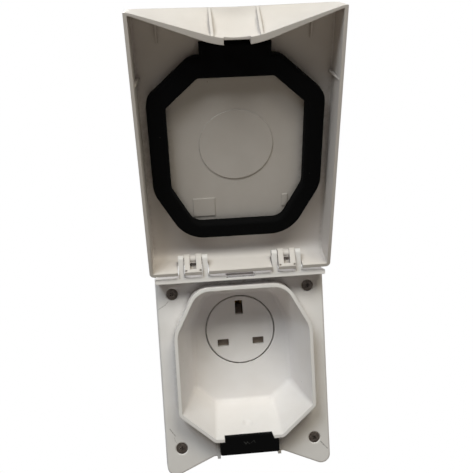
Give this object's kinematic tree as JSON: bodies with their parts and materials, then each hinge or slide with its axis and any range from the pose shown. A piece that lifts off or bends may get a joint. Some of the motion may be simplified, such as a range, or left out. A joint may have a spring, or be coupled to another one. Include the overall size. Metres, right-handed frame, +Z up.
{
  "type": "socket outlet",
  "caption": "Splash-proof wall socket outlet with a deep eight-sided recess, a round slotted face with a sliding shutter behind it, and a hinged lid with a rubber gasket.",
  "frame": {"origin": "middle of the wall screws, on the plane of the wall behind the flange", "axes": "+X to the right as seen from the front, +Y into the wall, +Z up"},
  "size_m": [0.1044, 0.137, 0.2624],
  "materials": {
    "housing_plastic": "fine moulded texture, slightly dusty",
    "lid_plastic": "fine moulded texture, slightly dusty",
    "face_plastic": "satin moulded",
    "shutter_plastic": "satin moulded",
    "carrier_plastic": "dull moulded",
    "cover_plastic": "dull moulded",
    "gland_plastic": "dull moulded",
    "gasket_rubber": "matt, dusty",
    "exit_rubber": "matt, dusty",
    "seal_rubber": "matt",
    "wall_screw_steel": "dull, browned",
    "small_screw_steel": "zinc plated",
    "pin_steel": "dull, browned",
    "spring_steel": "drawn wire",
    "contact_brass": "stamped, slightly dull"
  },
  "bodies": {
    "housing": {"base_housing": "housing_plastic", "wall_seal": "seal_rubber", "cable_exit_seal": "exit_rubber", "hinge_pin_left": "pin_steel", "hinge_pin_right": "pin_steel", "wall_screw_top_left": "wall_screw_steel", "wall_screw_top_right": "wall_screw_steel", "wall_screw_bottom_left": "wall_screw_steel", "wall_screw_bottom_right": "wall_screw_steel", "socket_face": "face_plastic", "socket_face_seal": "seal_rubber", "contact_carrier": "carrier_plastic", "contact_line": "contact_brass", "contact_neutral": "contact_brass", "contact_earth": "contact_brass", "terminal_screw_line": "small_screw_steel", "terminal_screw_neutral": "small_screw_steel", "terminal_screw_earth": "small_screw_steel", "carrier_screw_left": "small_screw_steel", "carrier_screw_right": "small_screw_steel", "rear_cover": "cover_plastic", "rear_cover_seal": "seal_rubber", "cover_screw_left": "small_screw_steel", "cover_screw_right": "small_screw_steel", "gland_body": "gland_plastic", "gland_locknut": "gland_plastic", "gland_nut": "gland_plastic", "gland_seal": "seal_rubber", "shutter_spring": "spring_steel"},
    "lid": {"lid_shell": "lid_plastic", "lid_gasket": "gasket_rubber"},
    "shutter": {"shutter": "shutter_plastic"}
  },
  "joints": [
    {"name": "lid_hinge", "type": "hinge", "parent": "housing", "child": "lid", "pos_m": [0, -0.014, 0.0688], "axis": [1, 0, 0], "range_deg": [0, 153.7]},
    {"name": "shutter_slide", "type": "slide", "parent": "housing", "child": "shutter", "axis": [0, 0, -1], "range_m": [0, 0.0048], "stiffness_N_per_m": 120, "springref_m": -0.004, "deforming": ["shutter_spring"]}
  ]
}
